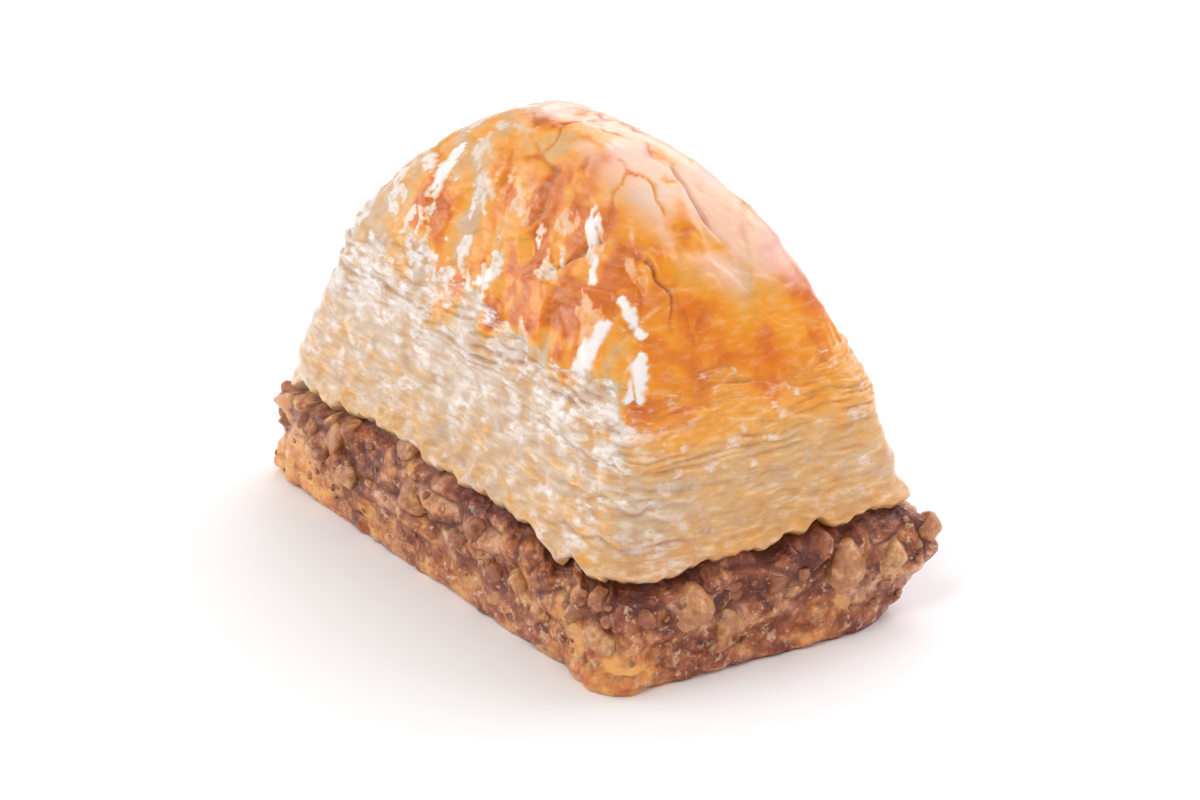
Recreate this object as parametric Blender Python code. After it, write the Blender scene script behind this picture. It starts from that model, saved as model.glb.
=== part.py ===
"""A cut piece of walnut baklava: soaked base sheets, a walnut filling and a risen, domed stack of filo.

The long cut side runs along X and faces -Y, the piece rests on z = 0, and the origin is the middle of
its footprint. Sizes are in millimetres and become metres where a mesh is made.
"""

import math

import bmesh
import bpy
import numpy as np
from mathutils import Vector, noise

MM = 0.001

# Driving dimensions.
LENGTH = 54.0  # long cut side of the footprint
WIDTH = 29.8  # short cut side, at mid length
HEIGHT = 39.6  # top of the dome
CUT_SKEW = math.radians(9.3)  # the short cuts are this far off square to the long ones
FLARE = 0.06  # the +X end is wider, and the -X end narrower, by this share
BASE_TOP = 3.0  # soaked base sheets
FILLING_TOP = 9.0  # walnut filling, at the corners
GAP = 0.3  # kept between pieces that touch
PASTRY_INSET = 0.5  # the stack starts this far inside the footprint

HALF_LENGTH = LENGTH / 2
HALF_WIDTH = WIDTH / 2

# Squircle exponents of the plan outline: high is square, 2 is an ellipse.
CUT_CORNERS = 16.0
STACK_CORNERS = 12.0
ROUND_TOP = 3.6

# The stack leans in on every side, then closes in a dome: (lean, bulge, crown) along X and across.
DOME_ALONG = (0.24, 2.9, 2.5)
DOME_ACROSS = (0.32, 1.87, 2.78)
DRIFT = 0.95  # the top of the dome lies this far behind the middle

# Swells and ripples of the layers' edges.
FILLING_SWELL = 1.7  # how far the stack's foot arches over the filling between two corners
FILLING_RIPPLE = 0.45
BASE_RIPPLE = 0.45
FAR_HEAP = 1.2  # nuts squeezed out past the far +X corner
LEFT_BULGE = 0.8  # soaked sheets that sag out at the near end of the -X side

# The browned crust ends in a lip above the pale cut sheets.
CRUST_EDGE = 21.5  # its height at the middle of a side
CRUST_TILT = (-2.6, 1.0)  # rise from the middle to the +X end, and to the back
CRUST_RIPPLE = 1.1
LIP = 0.5  # mean overhang
LIP_RIPPLE = 0.45
LIP_DEPTH = 6.5  # the overhang fades out over this height
BUNDLE = 0.3  # how far bundles of cut sheets stand out or in
BLISTER = 0.5  # height of the soft blisters on the dome

# Mesh density.
TURNS = 84
SIDE_RINGS = 21
DOME_RINGS = 12
LEVEL_SHARES = (0.86, 0.72)  # inside the last of these shares a layer's top and bottom are level

COLOURS = {
    "base_pastry": (0.52, 0.22, 0.09),
    "nut_filling": (0.33, 0.17, 0.10),
    "top_pastry": (0.80, 0.48, 0.19),
}


def squircle(turn, half_x, half_y, squareness):
    """Outline of a rectangle with rounded corners, as distances from its middle."""
    c, s = np.cos(turn), np.sin(turn)
    reach = (np.abs(c) ** squareness + np.abs(s) ** squareness) ** (-1 / squareness)
    return half_x * reach * c, half_y * reach * s


def even_turns(count):
    """Turn values that space points evenly along the footprint's outline."""
    fine = np.linspace(0, 2 * math.pi, 4001)
    x, y = squircle(fine, HALF_LENGTH, HALF_WIDTH, STACK_CORNERS)
    run = np.concatenate([[0], np.cumsum(np.hypot(np.diff(x), np.diff(y)))])
    return np.interp(np.arange(count) / count * run[-1], run, fine)


TURN = even_turns(TURNS)
ALONG, ACROSS = squircle(TURN, 1.0, 1.0, STACK_CORNERS)  # -1 to 1 from end to end and front to back


def ease(value, start, end):
    """0 at the start, 1 at the end, and smooth between."""
    t = np.clip((value - start) / (end - start), 0, 1)
    return t * t * (3 - 2 * t)


def bump(value, centre, spread):
    """1 at the centre, falling away on both sides."""
    return np.exp(-(((value - centre) / spread) ** 2))


def ripple(x, y, z, size, seed):
    """Smooth noise from -1 to 1 at each point, with lumps of about this size."""
    points = zip(x / size + seed, y / size, z / size)
    return np.array([noise.noise(Vector(point)) for point in points])


def edge_ripple(reach, size, seed):
    """Noise along the outline alone, the same at every height."""
    return ripple(reach * ALONG, reach * ACROSS, 0 * ALONG, size, seed)


def on_right():
    """1 on the short side that faces +X."""
    return ease(ALONG, 0.9, 1.0)


def at_far_corner():
    """1 at the corner between the +X side and the back."""
    return bump(ALONG, 1, 0.06) * bump(ACROSS, 1, 0.25)


def at_left_end():
    """1 on the near part of the -X side."""
    return bump(ALONG, -1, 0.05) * bump(ACROSS, -0.7, 0.7)


def filling_lift():
    """The filling swells between the corners, so the stack's lower edge arches over it."""
    between_corners = 1 - np.abs(ALONG * ACROSS) ** 3
    peak_on_right = bump(ACROSS, 0.45, 0.35) * on_right()
    sag_on_right = 0.9 * bump(ACROSS, -0.35, 0.4) * on_right()
    ripples = FILLING_RIPPLE * edge_ripple(9, 2.2, 3.1)
    return FILLING_SWELL * between_corners + ripples + peak_on_right - sag_on_right


def base_lift():
    return BASE_RIPPLE * edge_ripple(7, 1.9, 8.4)


def crust_edge():
    """Height where the crust ends: low at the near corner, high at the far end."""
    tilt = CRUST_TILT[0] * ALONG + CRUST_TILT[1] * ACROSS
    return CRUST_EDGE + tilt + CRUST_RIPPLE * edge_ripple(8, 3.0, 5.7)


def placed(x, y, z, out=0.0):
    """A ring from plan points of a square-cut piece, moved out, then flared and sheared to the footprint."""
    stretch = 1 + out / np.hypot(x, y)
    x = x * stretch
    y = y * stretch * (1 + FLARE * x / HALF_LENGTH)
    return np.column_stack([x + y * math.tan(CUT_SKEW), y, np.broadcast_to(z, x.shape)])


def layer_ring(height, proud, squareness, lumps=0.0, heap=0.0):
    """A ring of the base or the filling. Lumps stand out from it by up to this much, and heap is added."""
    x, y = squircle(TURN, HALF_LENGTH + proud, HALF_WIDTH + proud, squareness)
    height = np.broadcast_to(height, x.shape)
    return placed(x, y, height, heap + lumps * ripple(x, y, height, 3.8, 1.3))


def closing(rise, lean, bulge, crown):
    """Share of the half span that is left at this share of the stack's rise."""
    return (1 - lean * rise) * (1 - rise**bulge) ** (1 / crown)


def stack_ring(height):
    """A ring of the risen stack at this height, an array or a number."""
    rise = np.clip((height - FILLING_TOP) / (HEIGHT - FILLING_TOP), 0, 0.9995)
    half_x = (HALF_LENGTH - PASTRY_INSET) * closing(rise, *DOME_ALONG)
    half_y = (HALF_WIDTH - PASTRY_INSET) * closing(rise, *DOME_ACROSS)
    squareness = STACK_CORNERS + (ROUND_TOP - STACK_CORNERS) * ease(rise, 0.0, 1.15)
    x, y = squircle(TURN, half_x, half_y, squareness)
    ring = placed(x, y, height, stack_relief(x, y, height))
    ring[:, 1] += DRIFT * rise
    return ring


def stack_relief(x, y, height):
    """The crust's lip, the splits between bundles of sheets, and soft blisters on the dome."""
    z = np.broadcast_to(height, x.shape)
    above = z - crust_edge()
    overhang = LIP + LIP_RIPPLE * ripple(x, y, 0 * z, 6.0, 4.4)
    lip = overhang * ease(above, -0.6, 0.3) * (1 - ease(above, 0.8, LIP_DEPTH))
    groove = 0.2 * bump(above, -1.2, 1.0)
    bundles = BUNDLE * ripple(0.12 * x, 0.12 * y, z, 1.5, 2.2) * (1 - ease(above, -0.5, 1.5))
    blisters = BLISTER * ripple(x, y, z, 5.0, 6.6) * ease(above, 1, 5) * (1 - ease(z, 33, HEIGHT))
    return lip - groove + bundles + blisters


def level_rings(ring, level):
    """Rings that carry an edge ring inwards to a level middle, nearest the edge first."""
    middle = ring.mean(axis=0)
    rings = []
    for share in LEVEL_SHARES:
        inner = middle + (ring - middle) * share
        inner[:, 2] = level + (ring[:, 2] - level) * ease(share, LEVEL_SHARES[-1], 1.0)
        rings.append(inner)
    return rings


def solid(name, rings):
    """One closed body through these rings, lowest first, capped flat at both ends."""
    mesh = bmesh.new()
    loops = [[mesh.verts.new(Vector(point) * MM) for point in ring] for ring in rings]
    for low, high in zip(loops, loops[1:]):
        for i in range(TURNS):
            j = (i + 1) % TURNS
            mesh.faces.new((low[i], low[j], high[j], high[i]))
    mesh.faces.new(reversed(loops[0]))
    mesh.faces.new(loops[-1])
    data = bpy.data.meshes.new(name)
    mesh.to_mesh(data)
    mesh.free()
    data.shade_smooth()
    data.set_sharp_from_angle(angle=math.radians(50))
    thing = bpy.data.objects.new(name, data)
    thing.data.materials.append(material(name))
    bpy.context.scene.collection.objects.link(thing)
    return thing


def material(name):
    made = bpy.data.materials.new(name)
    made.use_nodes = True
    shader = made.node_tree.nodes["Principled BSDF"]
    shader.inputs["Base Color"].default_value = (*COLOURS[name], 1)
    shader.inputs["Roughness"].default_value = 0.35
    shader.inputs["Metallic"].default_value = 0.0
    return made


def base_pastry():
    """Soaked sheets under the filling, with a rounded lower edge."""
    edge = BASE_TOP + base_lift()
    bulge = LEFT_BULGE * at_left_end()
    rings = [
        layer_ring(0.0, -0.2, 0.75 * CUT_CORNERS, heap=0.3 * bulge),
        layer_ring(0.35, 0.1, CUT_CORNERS, heap=0.7 * bulge),
        layer_ring(1.2, 0.25, CUT_CORNERS, lumps=0.3, heap=bulge),
        layer_ring(0.75 * edge, 0.25, CUT_CORNERS, lumps=0.35, heap=bulge),
        layer_ring(edge, 0.1, CUT_CORNERS, heap=0.7 * bulge),
    ]
    return solid("base_pastry", rings + level_rings(rings[-1], BASE_TOP))


def nut_filling():
    """Chopped walnuts out to their uneven outline."""
    low = BASE_TOP + base_lift() + GAP
    high = FILLING_TOP + filling_lift() - GAP
    # Each ring of the side: share of the layer's height, how proud it stands, its lumps, its far heap.
    profile = [
        (0.0, 0.05, 0.0, 0.0),
        (0.2, 0.20, 0.9, 0.0),
        (0.45, 0.30, 1.4, 0.2),
        (0.7, 0.25, 1.5, 0.7),
        (0.9, 0.10, 1.2, 1.0),
        (1.0, -0.50, 0.0, 0.6),
    ]
    sides = []
    for share, proud, lumps, heap in profile:
        height = low + share * (high - low)
        sides.append(layer_ring(height, proud, CUT_CORNERS, lumps, FAR_HEAP * heap * at_far_corner()))
    under = level_rings(sides[0], BASE_TOP + GAP)[::-1]
    over = level_rings(sides[-1], FILLING_TOP + 1 - GAP)
    return solid("nut_filling", under + sides + over)


def top_pastry():
    """The risen stack of filo: leaning cut sides, a lip where the crust ends, and the dome."""
    foot = FILLING_TOP + filling_lift()
    shoulder = crust_edge() + 4.0
    sides = [stack_ring(foot + (shoulder - foot) * i / SIDE_RINGS) for i in range(SIDE_RINGS + 1)]
    dome = []
    for i in range(1, DOME_RINGS + 1):
        climb = 0.998 * math.sin(math.pi / 2 * i / DOME_RINGS) ** 0.9
        dome.append(stack_ring(shoulder + (HEIGHT - shoulder) * climb))
    under = level_rings(sides[0], FILLING_TOP + 1)[::-1]
    return solid("top_pastry", under + sides + dome)


def main():
    for thing in list(bpy.data.objects):
        bpy.data.objects.remove(thing)
    base_pastry()
    nut_filling()
    top_pastry()


main()
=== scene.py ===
"""Looks of a cut piece of walnut baklava.

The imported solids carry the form. Each layer's skin is felt by rays, drawn again as a fine grid, and given
what the solids leave out: the edges of the filo sheets, the crust's crumpled, glazed flakes, the chopped
walnuts in their paste, and the soaked sheets below. Lengths are in millimetres until a mesh is made.
"""

import itertools
import math

import bpy
import numpy as np
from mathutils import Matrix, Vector
from mathutils.bvhtree import BVHTree


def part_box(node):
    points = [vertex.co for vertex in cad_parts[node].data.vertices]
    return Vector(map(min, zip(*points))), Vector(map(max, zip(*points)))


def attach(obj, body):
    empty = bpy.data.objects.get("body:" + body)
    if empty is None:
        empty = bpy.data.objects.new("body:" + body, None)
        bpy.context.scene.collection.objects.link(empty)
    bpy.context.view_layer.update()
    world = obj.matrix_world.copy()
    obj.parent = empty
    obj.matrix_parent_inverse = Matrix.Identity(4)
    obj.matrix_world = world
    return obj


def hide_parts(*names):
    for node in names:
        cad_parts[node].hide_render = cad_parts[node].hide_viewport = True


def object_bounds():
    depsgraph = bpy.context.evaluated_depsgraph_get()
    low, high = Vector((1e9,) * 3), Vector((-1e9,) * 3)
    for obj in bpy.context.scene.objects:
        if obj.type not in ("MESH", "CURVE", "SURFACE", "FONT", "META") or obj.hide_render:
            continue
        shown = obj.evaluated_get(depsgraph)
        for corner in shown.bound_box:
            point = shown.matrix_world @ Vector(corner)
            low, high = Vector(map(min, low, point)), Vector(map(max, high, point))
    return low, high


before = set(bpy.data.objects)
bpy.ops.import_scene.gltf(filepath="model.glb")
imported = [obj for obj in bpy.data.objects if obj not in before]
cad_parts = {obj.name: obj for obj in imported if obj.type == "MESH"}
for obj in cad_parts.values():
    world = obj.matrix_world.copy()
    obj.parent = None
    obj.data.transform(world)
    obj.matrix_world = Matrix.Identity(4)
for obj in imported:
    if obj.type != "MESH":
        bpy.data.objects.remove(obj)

CAD_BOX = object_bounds()
MM = 0.001
LOW, HIGH = (np.array(corner) / MM for corner in CAD_BOX)
SPAN = HIGH - LOW
MIDDLE = (LOW + HIGH) / 2
HALF_LENGTH, HALF_WIDTH = SPAN[0] / 2, SPAN[1] / 2
BASE_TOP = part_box("base_pastry")[1].z / MM
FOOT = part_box("top_pastry")[0].z / MM
TOP = HIGH[2]
OUTSIDE = np.array([0.4, 0.4, 0.0])  # nuts may stand out this far from the solids' box
FAR = 60.0  # rays start this far out or up, outside the piece
RAY_STEP = 0.6  # between the heights where stack and filling are felt
COLUMNS = 640  # of every grid, round the outline

# The crust's lower edge: its height at the middle of the piece, and how it tilts and arches.
CRUST_EDGE = FOOT + 12.1
CRUST_TILT = (-1.6, 0.6)
CRUST_ARCH = 2.4

# Torn strips on the crust, painted white as highlights: both ends as shares along, across and up, and half
# the width in mm.
TORN_GLINT_STRIPS = (
    ((0.27, -0.31, 0.91), (0.40, -0.46, 0.78), 0.55),
    ((0.50, -0.50, 0.73), (0.42, -0.70, 0.57), 1.0),
    ((0.50, -0.44, 0.77), (0.60, -0.46, 0.71), 0.45),
    ((0.62, -0.50, 0.68), (0.67, -0.65, 0.56), 0.7),
    ((-0.40, -0.46, 0.78), (-0.34, -0.31, 0.90), 0.6),
    ((-0.10, -0.58, 0.66), (0.00, -0.56, 0.73), 0.45),
)

# The largest nuts in sight: shares along and across, height over the base, size and shade.
NUTS = (
    (-0.63, -1.0, 5.6, 3.5, 0.55),
    (-0.18, -1.0, 5.4, 4.2, 0.60),
    (0.38, -1.0, 3.4, 3.0, 0.75),
    (0.20, -1.0, 5.8, 2.6, 0.15),
    (0.66, -1.0, 3.8, 3.4, 0.85),
    (0.80, -1.0, 2.6, 3.0, 0.80),
    (1.0, -0.62, 4.6, 4.4, 0.70),
    (1.0, 0.38, 4.6, 4.4, 0.70),
    (1.0, 0.72, 4.0, 4.2, 0.85),
    (0.97, 0.97, 5.4, 3.0, 0.50),
)

NUT_COUNT, CRUMB_COUNT = 70, 240
NUT_SPAN, CRUMB_SPAN = (0.3, 0.8, 0.7), (0.05, 0.8, 1.0)  # as scatter says
PROUD = (0.1, 0.4)  # share of a chunk's size that stands out of the paste

# Colours, 0 to 255. Filo runs from raw to deep brown by its bake, and a nut by its shade. The paste and the
# soaked sheets have four tones each, at the same levels.
BAKED_FILO = (
    (0.0, (224, 204, 188)),
    (0.12, (206, 176, 146)),
    (0.24, (216, 170, 114)),
    (0.34, (224, 166, 92)),
    (0.48, (236, 162, 56)),
    (0.62, (238, 152, 28)),
    (0.80, (222, 116, 12)),
    (1.0, (180, 84, 10)),
)
WALNUT = ((0.0, (124, 66, 36)), (0.35, (166, 104, 64)), (0.65, (198, 140, 90)), (1.0, (230, 186, 132)))
PASTE_LEVELS = (0.30, 0.42, 0.53, 0.64)
MAUVE = ((86, 28, 14), (138, 68, 44), (174, 106, 76), (220, 162, 124))
BROWN = ((82, 26, 8), (138, 66, 26), (180, 104, 52), (222, 158, 92))
SHEETS = ((98, 34, 16), (134, 58, 32), (170, 92, 56), (216, 150, 100))

# Random numbers.
DICE = np.random.default_rng(11)
SHUFFLE = DICE.permutation(256)
SLOPES = DICE.normal(size=(256, 3))
SLOPES /= np.linalg.norm(SLOPES, axis=1)[:, None]


# -------- numbers


def ease(value, start, end):
    """0 at the start, 1 at the end, and smooth between."""
    t = np.clip((value - start) / (end - start), 0, 1)
    return t * t * (3 - 2 * t)


def bump(value, centre, spread):
    """1 at the centre, falling away on both sides."""
    return np.exp(-(((value - centre) / spread) ** 2))


def mix(a, b, share):
    return a + (b - a) * share


def hashed(cell, seed):
    """A number from 0 to 255 for each whole-number cell."""
    h = SHUFFLE[(cell[..., 0] + 37 * seed) & 255]
    h = SHUFFLE[(h + cell[..., 1]) & 255]
    return SHUFFLE[(h + cell[..., 2]) & 255]


def noise(points, size, seed=0):
    """Smooth noise in space, about -1 to 1, with lumps of this size (a number, or one for each axis)."""
    place = points / np.asarray(size, float) + 0.173 * seed
    cell = np.floor(place).astype(int)
    part = place - cell
    fade = part**3 * (part * (part * 6 - 15) + 10)
    total = np.zeros(points.shape[:-1])
    for corner in itertools.product((0, 1), repeat=3):
        offset = np.array(corner)
        slope = SLOPES[hashed(cell + offset, seed)]
        weight = np.prod(np.where(offset == 1, fade, 1 - fade), axis=-1)
        total += weight * ((part - offset) * slope).sum(-1)
    return 1.7 * total


def noises(points, *layers):
    """Noises added up, each given by its amount, size and seed."""
    return sum(amount * noise(points, size, seed) for amount, size, seed in layers)


def facets(points, size, seed, tilt):
    """Flakes that each lean their own way: height in mm, distance to a border in cells, and a number."""
    size = np.asarray(size, float)
    place = points / size + 0.31 * seed
    cell = np.floor(place).astype(int)
    near = np.full(points.shape[:-1], 9.0)
    second = near.copy()
    height, beside, who = np.zeros(near.shape), np.zeros(near.shape), np.zeros(near.shape)
    for step in itertools.product((-1, 0, 1), repeat=3):
        there = cell + np.array(step)
        h = hashed(there, seed)
        seat = there + np.stack([SHUFFLE[h], SHUFFLE[(h + 85) & 255], SHUFFLE[(h + 170) & 255]], -1) / 255
        away = place - seat
        gap = np.linalg.norm(away, axis=-1)
        lean = tilt * ((away * size * SLOPES[h]).sum(-1) + 0.8 * (h / 255 - 0.5))
        first, closer = gap < near, (gap >= near) & (gap < second)
        beside = np.where(first, height, np.where(closer, lean, beside))
        second = np.where(first, near, np.where(closer, gap, second))
        height = np.where(first, lean, height)
        who = np.where(first, h / 255, who)
        near = np.where(first, gap, near)
    share = 0.5 * (1 - ease(second - near, 0, 0.08))
    return mix(height, beside, share), second - near, who


# -------- the solids' skins


class Skin:
    """The surface of a CAD node, felt by rays towards its middle."""

    def __init__(self, node):
        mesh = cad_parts[node].data
        points = [vertex.co / MM for vertex in mesh.vertices]
        self.tree = BVHTree.FromPolygons(points, [tuple(face.vertices) for face in mesh.polygons])

    def reach(self, bearing, height):
        """How far out the surface is, level with this height, in this direction."""
        way = Vector((math.cos(bearing), math.sin(bearing), 0))
        hit = self.tree.ray_cast(Vector((0, 0, height)) + way * FAR, -way)
        return (hit[0] - Vector((0, 0, height))).length if hit[0] else np.nan

    def felt(self, bearings, heights, *blur):
        """Table of how far out the surface is, softened over this many rows and columns."""
        table = np.array([[self.reach(b, z) for b in bearings] for z in heights])
        return soften(fill_gaps(table), *blur)

    def lid(self, x, y):
        """Height of the surface over a plan point."""
        hit = self.tree.ray_cast(Vector((x, y, FAR)), Vector((0, 0, -1)))
        return hit[0].z if hit[0] else np.nan


class Filling(Skin):
    def top_at(self, point):
        """Height of the filling's top just inside this point of the outline."""
        inner = point * 0.93
        height = self.lid(inner[0], inner[1])
        return height if not math.isnan(height) else FOOT


FILLING = Filling("nut_filling")


def even_bearings(skin, height, count):
    """Directions that meet the outline at even steps."""
    fine = np.linspace(0, 2 * math.pi, 1441)
    reach = np.array([skin.reach(b, height) for b in fine])
    x, y = reach * np.cos(fine), reach * np.sin(fine)
    run = np.concatenate([[0], np.cumsum(np.hypot(np.diff(x), np.diff(y)))])
    return np.interp(np.arange(count) / count * run[-1], run, fine)


def soften(table, rows, columns):
    """Blurs a table over about this many rows and columns. It closes round the outline."""
    for axis, spread in ((0, rows), (1, columns)):
        steps = np.arange(-int(3 * spread), int(3 * spread) + 1)
        weights = np.exp(-0.5 * (steps / spread) ** 2)
        weights /= weights.sum()
        pad = [(0, 0), (0, 0)]
        pad[axis] = (steps[-1], steps[-1])
        if axis == 1:
            wide = np.pad(table, pad, mode="wrap")
        else:
            wide = np.pad(table, pad, mode="reflect", reflect_type="odd")
        size = table.shape[axis]
        table = sum(w * np.take(wide, np.arange(i, i + size), axis=axis) for i, w in enumerate(weights))
    return table


def fill_gaps(table):
    """Fills a column's missing values from its measured ones."""
    for column in table.T:
        known = np.flatnonzero(~np.isnan(column))
        column[:] = np.interp(np.arange(len(column)), known, column[known])
    return table


def wall_points(reach, bearings, heights):
    """Grid of points that lie this far out, in these directions and at these heights."""
    heights = np.broadcast_to(heights, reach.shape)
    return np.stack([reach * np.cos(bearings), reach * np.sin(bearings), heights], -1)


def normals_of(points):
    """Outward directions of a grid whose columns run round the outline."""
    round_it = np.roll(points, -1, axis=1) - np.roll(points, 1, axis=1)
    up = np.gradient(points, axis=0)
    normal = np.cross(round_it, up)
    return normal / np.maximum(np.linalg.norm(normal, axis=-1, keepdims=True), 1e-9)


def faces_right(points):
    """1 where a grid's surface faces +X, 0 on its other sides and on top."""
    return ease(normals_of(points)[..., 0], 0.25, 0.7)


def plan_place(points):
    """Where a point is along and across the piece, -1 to 1 each."""
    return np.clip(points[..., 0] / HALF_LENGTH, -1, 1), np.clip(points[..., 1] / HALF_WIDTH, -1, 1)


def to_corner(points):
    """2 at the near corner, where +X meets the front, and less away from it."""
    along, across = plan_place(points)
    return along - across


def crust_line(points):
    """Height of the crust's lower edge nearest to each point."""
    along, across = plan_place(points)
    tilt = CRUST_TILT[0] * along + CRUST_TILT[1] * across
    arch = CRUST_ARCH * (1 - np.abs(along * across) ** 3)
    return CRUST_EDGE + tilt + arch + noises(points * (1, 1, 0), (1.3, 7.0, 3), (0.5, 2.5, 4))


# -------- meshes


def ride_as(piece, slot_name, *nodes):
    """Places a finished piece in the frame."""
    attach(piece, "root")
    if nodes:
        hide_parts(*nodes)


def new_piece(name, points, faces, material, values):
    """A smooth object from points in mm. Each of values is kept on the mesh under its name."""
    mesh = bpy.data.meshes.new(name)
    mesh.from_pydata(points * MM, [], faces)
    for label, numbers in values.items():
        kept = mesh.attributes.new(label, "FLOAT", "POINT")
        kept.data.foreach_set("value", np.ascontiguousarray(numbers, np.float32).ravel())
    mesh.shade_smooth()
    mesh.materials.append(material)
    piece = bpy.data.objects.new(name, mesh)
    bpy.context.scene.collection.objects.link(piece)
    return piece


def grid_faces(rows, columns):
    """Quads of a grid that closes round its columns, facing out, with its first and last row capped."""
    low = np.arange(rows - 1)[:, None] * columns + np.arange(columns)[None, :]
    nxt = np.arange(rows - 1)[:, None] * columns + np.roll(np.arange(columns), -1)[None, :]
    quads = np.stack([low, nxt, nxt + columns, low + columns], -1).reshape(-1, 4).tolist()
    first = list(range(columns))[::-1]
    last = list(range((rows - 1) * columns, rows * columns))
    return quads + [first, last]


def drawn_in(ring, shares, height=None):
    """Copies of a ring drawn in to these shares of it, towards a middle at this height, or level."""
    middle = ring * (0, 0, 1) if height is None else ring * 0 + (0, 0, height)
    return np.array([mix(middle, ring, share) for share in shares])


def closed_piece(name, inner, points, outer, material, values):
    """A piece from a grid, with rows added at both ends that take the values of its first and last row."""
    pad = ((len(inner), len(outer)), (0, 0))
    values = {label: np.pad(table, pad, mode="edge") for label, table in values.items()}
    points = np.concatenate([inner, points, outer])
    rows, columns = points.shape[:2]
    return new_piece(name, points.reshape(-1, 3), grid_faces(rows, columns), material, values)


# -------- materials


def tone(red, green, blue):
    """Shader colour from the usual 0 to 255 values."""
    share = np.array([red, green, blue]) / 255
    linear = np.where(share <= 0.04045, share / 12.92, ((share + 0.055) / 1.055) ** 2.4)
    return (*linear.tolist(), 1.0)


class Recipe:
    """A node material with a Principled shader, built one node at a time."""

    def __init__(self, name):
        self.material = bpy.data.materials.new(name)
        self.material.use_nodes = True
        self.nodes = self.material.node_tree.nodes
        self.links = self.material.node_tree.links
        self.shader = self.nodes["Principled BSDF"]
        self.place = self.wired("ShaderNodeTexCoord", "Object", {})

    def feed(self, node, inputs):
        """Gives a node its inputs, each from a number or from another node."""
        for key, value in inputs.items():
            if isinstance(value, bpy.types.NodeSocket):
                self.links.new(value, node.inputs[key])
            else:
                node.inputs[key].default_value = value

    def wired(self, kind, output, inputs, **settings):
        """One output of a new node."""
        node = self.nodes.new(kind)
        for key, value in settings.items():
            setattr(node, key, value)
        self.feed(node, inputs)
        return node.outputs[output]

    def kept(self, label):
        """A value kept on the mesh."""
        return self.wired("ShaderNodeAttribute", "Fac", {}, attribute_name=label)

    def noise(self, size_mm, detail=3.0, roughness=0.55, stretch=None):
        place = self.place
        if stretch:
            place = self.wired("ShaderNodeMapping", "Vector", {"Vector": place, "Scale": stretch})
        inputs = {"Vector": place, "Scale": 1 / (size_mm * MM), "Detail": detail, "Roughness": roughness}
        return self.wired("ShaderNodeTexNoise", "Fac", inputs)

    def math(self, operation, a, b):
        return self.wired("ShaderNodeMath", 0, {0: a, 1: b}, operation=operation)

    def spread(self, value, low, high, out_low=0.0, out_high=1.0):
        inputs = {"Value": value, "From Min": low, "From Max": high, "To Min": out_low, "To Max": out_high}
        return self.wired("ShaderNodeMapRange", 0, inputs)

    def blend(self, share, a, b):
        return self.wired("ShaderNodeMix", 2, {0: share, 6: a, 7: b}, data_type="RGBA")

    def ramp(self, value, *stops):
        """Colours along a value, each stop a place from 0 to 1 and a colour from 0 to 255."""
        node = self.nodes.new("ShaderNodeValToRGB")
        elements = node.color_ramp.elements
        while len(elements) < len(stops):
            elements.new(0.5)
        for element, (place, colour) in zip(elements, stops):
            element.position = place
            element.color = tone(*colour)
        self.feed(node, {"Fac": value})
        return node.outputs["Color"]

    def bump(self, height, strength, depth_mm, before=None):
        inputs = {"Height": height, "Strength": strength, "Distance": depth_mm * MM}
        if before is not None:
            inputs["Normal"] = before
        return self.wired("ShaderNodeBump", "Normal", inputs)

    def finish(self, colour, roughness, normal, subsurface, radius_mm, coat, coat_roughness, coat_ior=1.5):
        look = {"Base Color": colour, "Roughness": roughness, "Normal": normal, "Coat Normal": normal}
        look |= {"Subsurface Weight": subsurface, "Subsurface Radius": radius_mm, "Subsurface Scale": MM}
        look |= {"Coat Weight": coat, "Coat Roughness": coat_roughness, "Coat IOR": coat_ior}
        look |= {"IOR": 1.4, "Specular IOR Level": 0.2}
        self.feed(self.shader, look)
        return self.material


def filo_material(name, coat, coat_roughness, coat_ior, crumb, streaked):
    """Filo from raw cream to deep brown, by how much each place is baked, with painted shade in its gaps. On
    it are streaks along the sheets, the lighter ones painted highlights, the crown's painted sheen, and white
    painted glints where light catches wet or torn sheets."""
    m = Recipe(name)
    fine = m.noise(0.9, 5, 0.65, stretch=(0.7, 0.7, 1.5))
    speck = m.noise(0.3, 2)
    tint = m.spread(m.noise(1.7, 3), 0.3, 0.7, -0.06, 0.06)
    colour = m.ramp(m.math("ADD", m.kept("bake"), tint), *BAKED_FILO)
    # painted shade: darker in the gaps between sheets, under the ledges, at the foot of edges and along flake
    # borders
    colour = m.blend(m.math("MULTIPLY", m.kept("gap"), 0.7), colour, tone(176, 104, 50))
    streak = m.noise(0.5, 4, 0.6, stretch=(0.25, 0.25, 1.0))
    colour = m.blend(m.spread(streak, 0.47, 0.34, 0.0, 0.8 * streaked), colour, tone(172, 106, 58))
    # lighter streaks along the sheets: painted highlights
    colour = m.blend(m.spread(streak, 0.52, 0.66, 0.0, streaked), colour, tone(252, 226, 186))
    # painted sheen: pale pink on the crown
    colour = m.blend(m.kept("sheen"), colour, tone(244, 214, 204))
    # painted glints: white where the sheets would shine, on the glint blotches and on the torn places
    shining = m.math("MULTIPLY", m.spread(fine, 0.42, 0.62), m.kept("painted_glint"))
    colour = m.blend(m.math("MAXIMUM", shining, m.kept("torn_and_glint")), colour, tone(244, 236, 232))
    normal = m.bump(speck, crumb, 0.05, m.bump(fine, crumb, 0.25))
    roughness = m.spread(m.noise(1.6, 3), 0.35, 0.65, 0.28, 0.5)
    return m.finish(colour, roughness, normal, 0.35, (1.2, 0.8, 0.4), coat, coat_roughness, coat_ior)


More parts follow.
